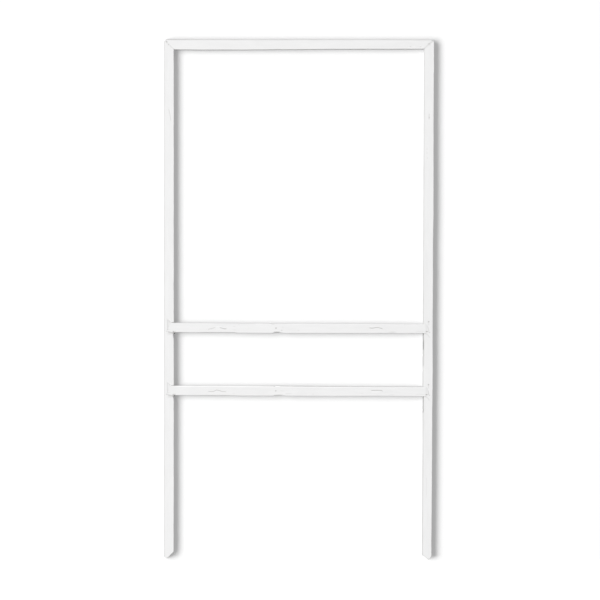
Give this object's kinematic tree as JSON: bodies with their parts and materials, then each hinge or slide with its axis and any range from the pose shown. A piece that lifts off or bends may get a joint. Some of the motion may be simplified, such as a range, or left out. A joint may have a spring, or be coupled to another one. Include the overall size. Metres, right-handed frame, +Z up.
{
  "type": "partition frame",
  "caption": "Tall open batten frame with a mitred top, pointed legs and cross rails let into the uprights, holding a display panel above a narrow caption strip.",
  "frame": {"origin": "midway between the two legs, at the level of the foot points, in the middle of the uprights' depth", "axes": "+Z up along the uprights; +X to the right along the rails, seen from the front; +Y from the front to the back"},
  "size_m": [1.076, 0.0395, 2.076],
  "materials": {
    "painted_batten": "satin",
    "plywood": "matte",
    "zinc_screw": "satin",
    "painted_pin": "satin",
    "beech": "matte"
  },
  "bodies": {
    "root": {"left_upright": "painted_batten", "right_upright": "painted_batten", "top_rail": "painted_batten", "upper_cross_rail": "painted_batten", "lower_cross_rail": "painted_batten", "left_mitre_tongue": "plywood", "right_mitre_tongue": "plywood", "corner_screws": "zinc_screw", "lap_screws": "zinc_screw", "rail_end_pins": "painted_pin", "rail_dowels": "beech"}
  },
  "joints": []
}
